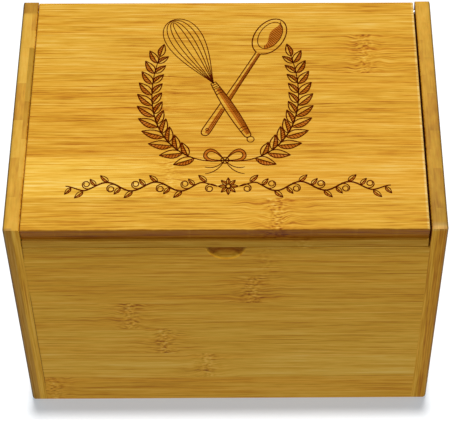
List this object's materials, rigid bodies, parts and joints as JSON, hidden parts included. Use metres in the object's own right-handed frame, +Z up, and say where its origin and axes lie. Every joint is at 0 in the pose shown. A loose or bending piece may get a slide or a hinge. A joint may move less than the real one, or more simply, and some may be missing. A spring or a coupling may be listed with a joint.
{
  "type": "recipe card box",
  "caption": "Sloped bamboo box for recipe cards, with a pin-hinged lid that closes flush between the side boards and a thumb notch.",
  "frame": {"origin": "middle of the base, on the surface that the box stands on", "axes": "+X along the width, +Y to the back where the lid is hinged, +Z up"},
  "size_m": [0.184, 0.118, 0.1407],
  "materials": {
    "bamboo_side": "satin lacquered laminated bamboo, grain upright",
    "bamboo_panel": "satin lacquered laminated bamboo, grain across",
    "bamboo_lid": "satin lacquered laminated bamboo, grain across, engraved",
    "steel_pin": "plain"
  },
  "bodies": {
    "box": {"left_side": "bamboo_side", "right_side": "bamboo_side", "front_panel": "bamboo_panel", "back_panel": "bamboo_panel", "bottom_panel": "bamboo_panel", "left_hinge_pin": "steel_pin", "right_hinge_pin": "steel_pin"},
    "lid": {"lid_panel": "bamboo_lid", "lid_rail": "bamboo_lid"}
  },
  "joints": [
    {"name": "lid_hinge", "type": "hinge", "parent": "box", "child": "lid", "pos_m": [0, 0.0553, 0.1366], "axis": [-1, 0, 0], "range_deg": [0, 106]}
  ]
}
